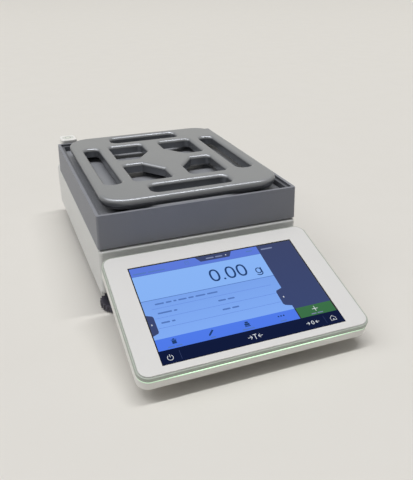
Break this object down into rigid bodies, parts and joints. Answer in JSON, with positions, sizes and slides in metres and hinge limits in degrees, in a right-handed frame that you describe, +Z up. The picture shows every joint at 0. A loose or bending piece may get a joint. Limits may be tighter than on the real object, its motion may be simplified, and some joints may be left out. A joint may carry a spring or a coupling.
{
  "type": "precision balance",
  "caption": "Bench precision balance with a slotted pan inside a lift-off draft ring, a tilting touch terminal in front and levelling feet.",
  "frame": {"origin": "on the bench, under the middle of the balance's bounding box", "axes": "+Z up, +X to the right, -Y to the front where the terminal is"},
  "size_m": [0.199, 0.3958, 0.105],
  "materials": {
    "white_paint": "satin powder coat on a die-cast cover",
    "white_plastic": "fine satin moulded plastic",
    "slate_plastic": "satin slate-grey moulded plastic",
    "shell_plastic": "satin silver-grey moulded plastic",
    "black_paint": "black coat on a casting",
    "dark_plastic": "dark grey moulded plastic",
    "black_plastic": "black moulded plastic",
    "rubber": "matt black rubber",
    "pan_alloy": "satin grey coated die-cast alloy",
    "cast_alloy": "as-cast and milled alloy",
    "steel": "bright zinc-plated steel",
    "socket_shell": "tin-plated sheet",
    "brass": "turned brass",
    "copper_wire": "enamelled copper winding",
    "circuit_board": "green solder mask",
    "light_guide": "lit pale green translucent plastic",
    "display_glass": "flush glass pane over a lit display",
    "vial_glass": "clear acrylic vial",
    "level_fluid": "yellow-green level fluid"
  },
  "bodies": {
    "base": {"base_plate": "black_paint", "housing_cover": "white_paint", "cover_screws": "steel", "rear_panel": "dark_plastic", "power_socket": "black_plastic", "network_socket": "socket_shell", "usb_ports": "socket_shell", "usb_device_socket": "socket_shell", "interface_board": "circuit_board", "main_board": "circuit_board", "board_standoffs": "brass", "level_housing": "white_plastic", "level_vial": "vial_glass", "level_fluid": "level_fluid", "rear_feet": "rubber", "foot_bushes": "brass", "hook_cover_screw": "steel", "terminal_bracket": "steel", "bracket_screws": "steel", "hinge_pins": "steel", "hinge_washers": "steel", "dust_seal": "rubber", "cell_frame": "cast_alloy", "fulcrum_pin": "steel", "magnet": "steel", "position_sensor": "black_plastic", "drip_tray": "slate_plastic", "pin_collars": "rubber", "lifter_motor": "black_plastic"},
    "left_pad": {"left_foot_pad": "rubber"},
    "left_screw": {"left_levelling_wheel": "dark_plastic", "left_levelling_stud": "steel"},
    "right_pad": {"right_foot_pad": "rubber"},
    "right_screw": {"right_levelling_wheel": "dark_plastic", "right_levelling_stud": "steel"},
    "hook_cover": {"hook_cover": "steel"},
    "receptor": {"load_receptor": "cast_alloy", "coupling_strip": "steel", "weigh_below_hook": "steel", "pan_carrier": "cast_alloy", "carrier_tips": "steel"},
    "pan": {"weighing_pan": "pan_alloy"},
    "ring": {"draft_ring": "slate_plastic"},
    "lever": {"lever": "cast_alloy", "coil": "copper_wire"},
    "upper_guide": {"upper_guide": "steel"},
    "lower_guide": {"lower_guide": "steel"},
    "lifter_screw": {"lifter_screw": "steel"},
    "cradle": {"weight_cradle": "cast_alloy", "calibration_weight": "steel"},
    "terminal": {"terminal_upper_shell": "shell_plastic", "terminal_front_panel": "white_plastic", "display_window": "display_glass", "display_module": "black_plastic", "terminal_light_guide": "light_guide", "light_board": "circuit_board", "terminal_board": "circuit_board", "terminal_lower_shell": "white_plastic", "terminal_screws": "steel"}
  },
  "joints": [
    {"name": "terminal_tilt", "type": "hinge", "parent": "base", "child": "terminal", "pos_m": [0, -0.10379, 0.02954], "axis": [1, 0, 0], "range_deg": [-14, 4]},
    {"name": "receptor_travel", "type": "slide", "parent": "base", "child": "receptor", "axis": [0, 0, 1], "range_m": [-0.0002, 0.0002], "stiffness_N_per_m": 50000, "springref_m": 0.0002},
    {"name": "lever_rock", "type": "hinge", "parent": "base", "child": "lever", "pos_m": [0, 0.07292, 0.044], "axis": [1, 0, 0], "range_deg": [-1, 1]},
    {"name": "upper_guide_flex", "type": "hinge", "parent": "base", "child": "upper_guide", "pos_m": [0, 0.11542, 0.05545], "axis": [1, 0, 0], "range_deg": [-0.5, 0.5]},
    {"name": "lower_guide_flex", "type": "hinge", "parent": "base", "child": "lower_guide", "pos_m": [0, 0.11542, 0.03255], "axis": [1, 0, 0], "range_deg": [-0.5, 0.5]},
    {"name": "pan_lift", "type": "slide", "parent": "receptor", "child": "pan", "axis": [0, 0, 1], "range_m": [0, 0.06]},
    {"name": "draft_ring_lift", "type": "slide", "parent": "base", "child": "ring", "axis": [0, 0, 1], "range_m": [0, 0.06]},
    {"name": "hook_cover_swing", "type": "hinge", "parent": "base", "child": "hook_cover", "pos_m": [0.022, 0.04992, 0.021], "axis": [0, 0, 1], "range_deg": [0, 100]},
    {"name": "cradle_travel", "type": "slide", "parent": "base", "child": "cradle", "axis": [0, 0, 1], "range_m": [-0.002, 0]},
    {"name": "lifter_turn", "type": "hinge", "parent": "base", "child": "lifter_screw", "pos_m": [0, -0.02058, 0.04], "axis": [0, 0, 1], "range_deg": [0, 720]},
    {"name": "left_foot_travel", "type": "slide", "parent": "base", "child": "left_pad", "axis": [0, 0, 1], "range_m": [-0.006, 0]},
    {"name": "left_foot_turn", "type": "hinge", "parent": "left_pad", "child": "left_screw", "pos_m": [-0.082, -0.05508, 0.004], "axis": [0, 0, 1], "range_deg": [-2160, 0]},
    {"name": "right_foot_travel", "type": "slide", "parent": "base", "child": "right_pad", "axis": [0, 0, 1], "range_m": [-0.006, 0]},
    {"name": "right_foot_turn", "type": "hinge", "parent": "right_pad", "child": "right_screw", "pos_m": [0.082, -0.05508, 0.004], "axis": [0, 0, 1], "range_deg": [-2160, 0]}
  ],
  "couplings": [
    {"joint": "lever_rock", "follows": "receptor_travel", "rad_per_m": -76.92},
    {"joint": "upper_guide_flex", "follows": "receptor_travel", "rad_per_m": -17.24},
    {"joint": "lower_guide_flex", "follows": "receptor_travel", "rad_per_m": -17.24},
    {"joint": "lifter_turn", "follows": "cradle_travel", "rad_per_m": -6283},
    {"joint": "left_foot_turn", "follows": "left_foot_travel", "rad_per_m": 6283},
    {"joint": "right_foot_turn", "follows": "right_foot_travel", "rad_per_m": 6283}
  ]
}
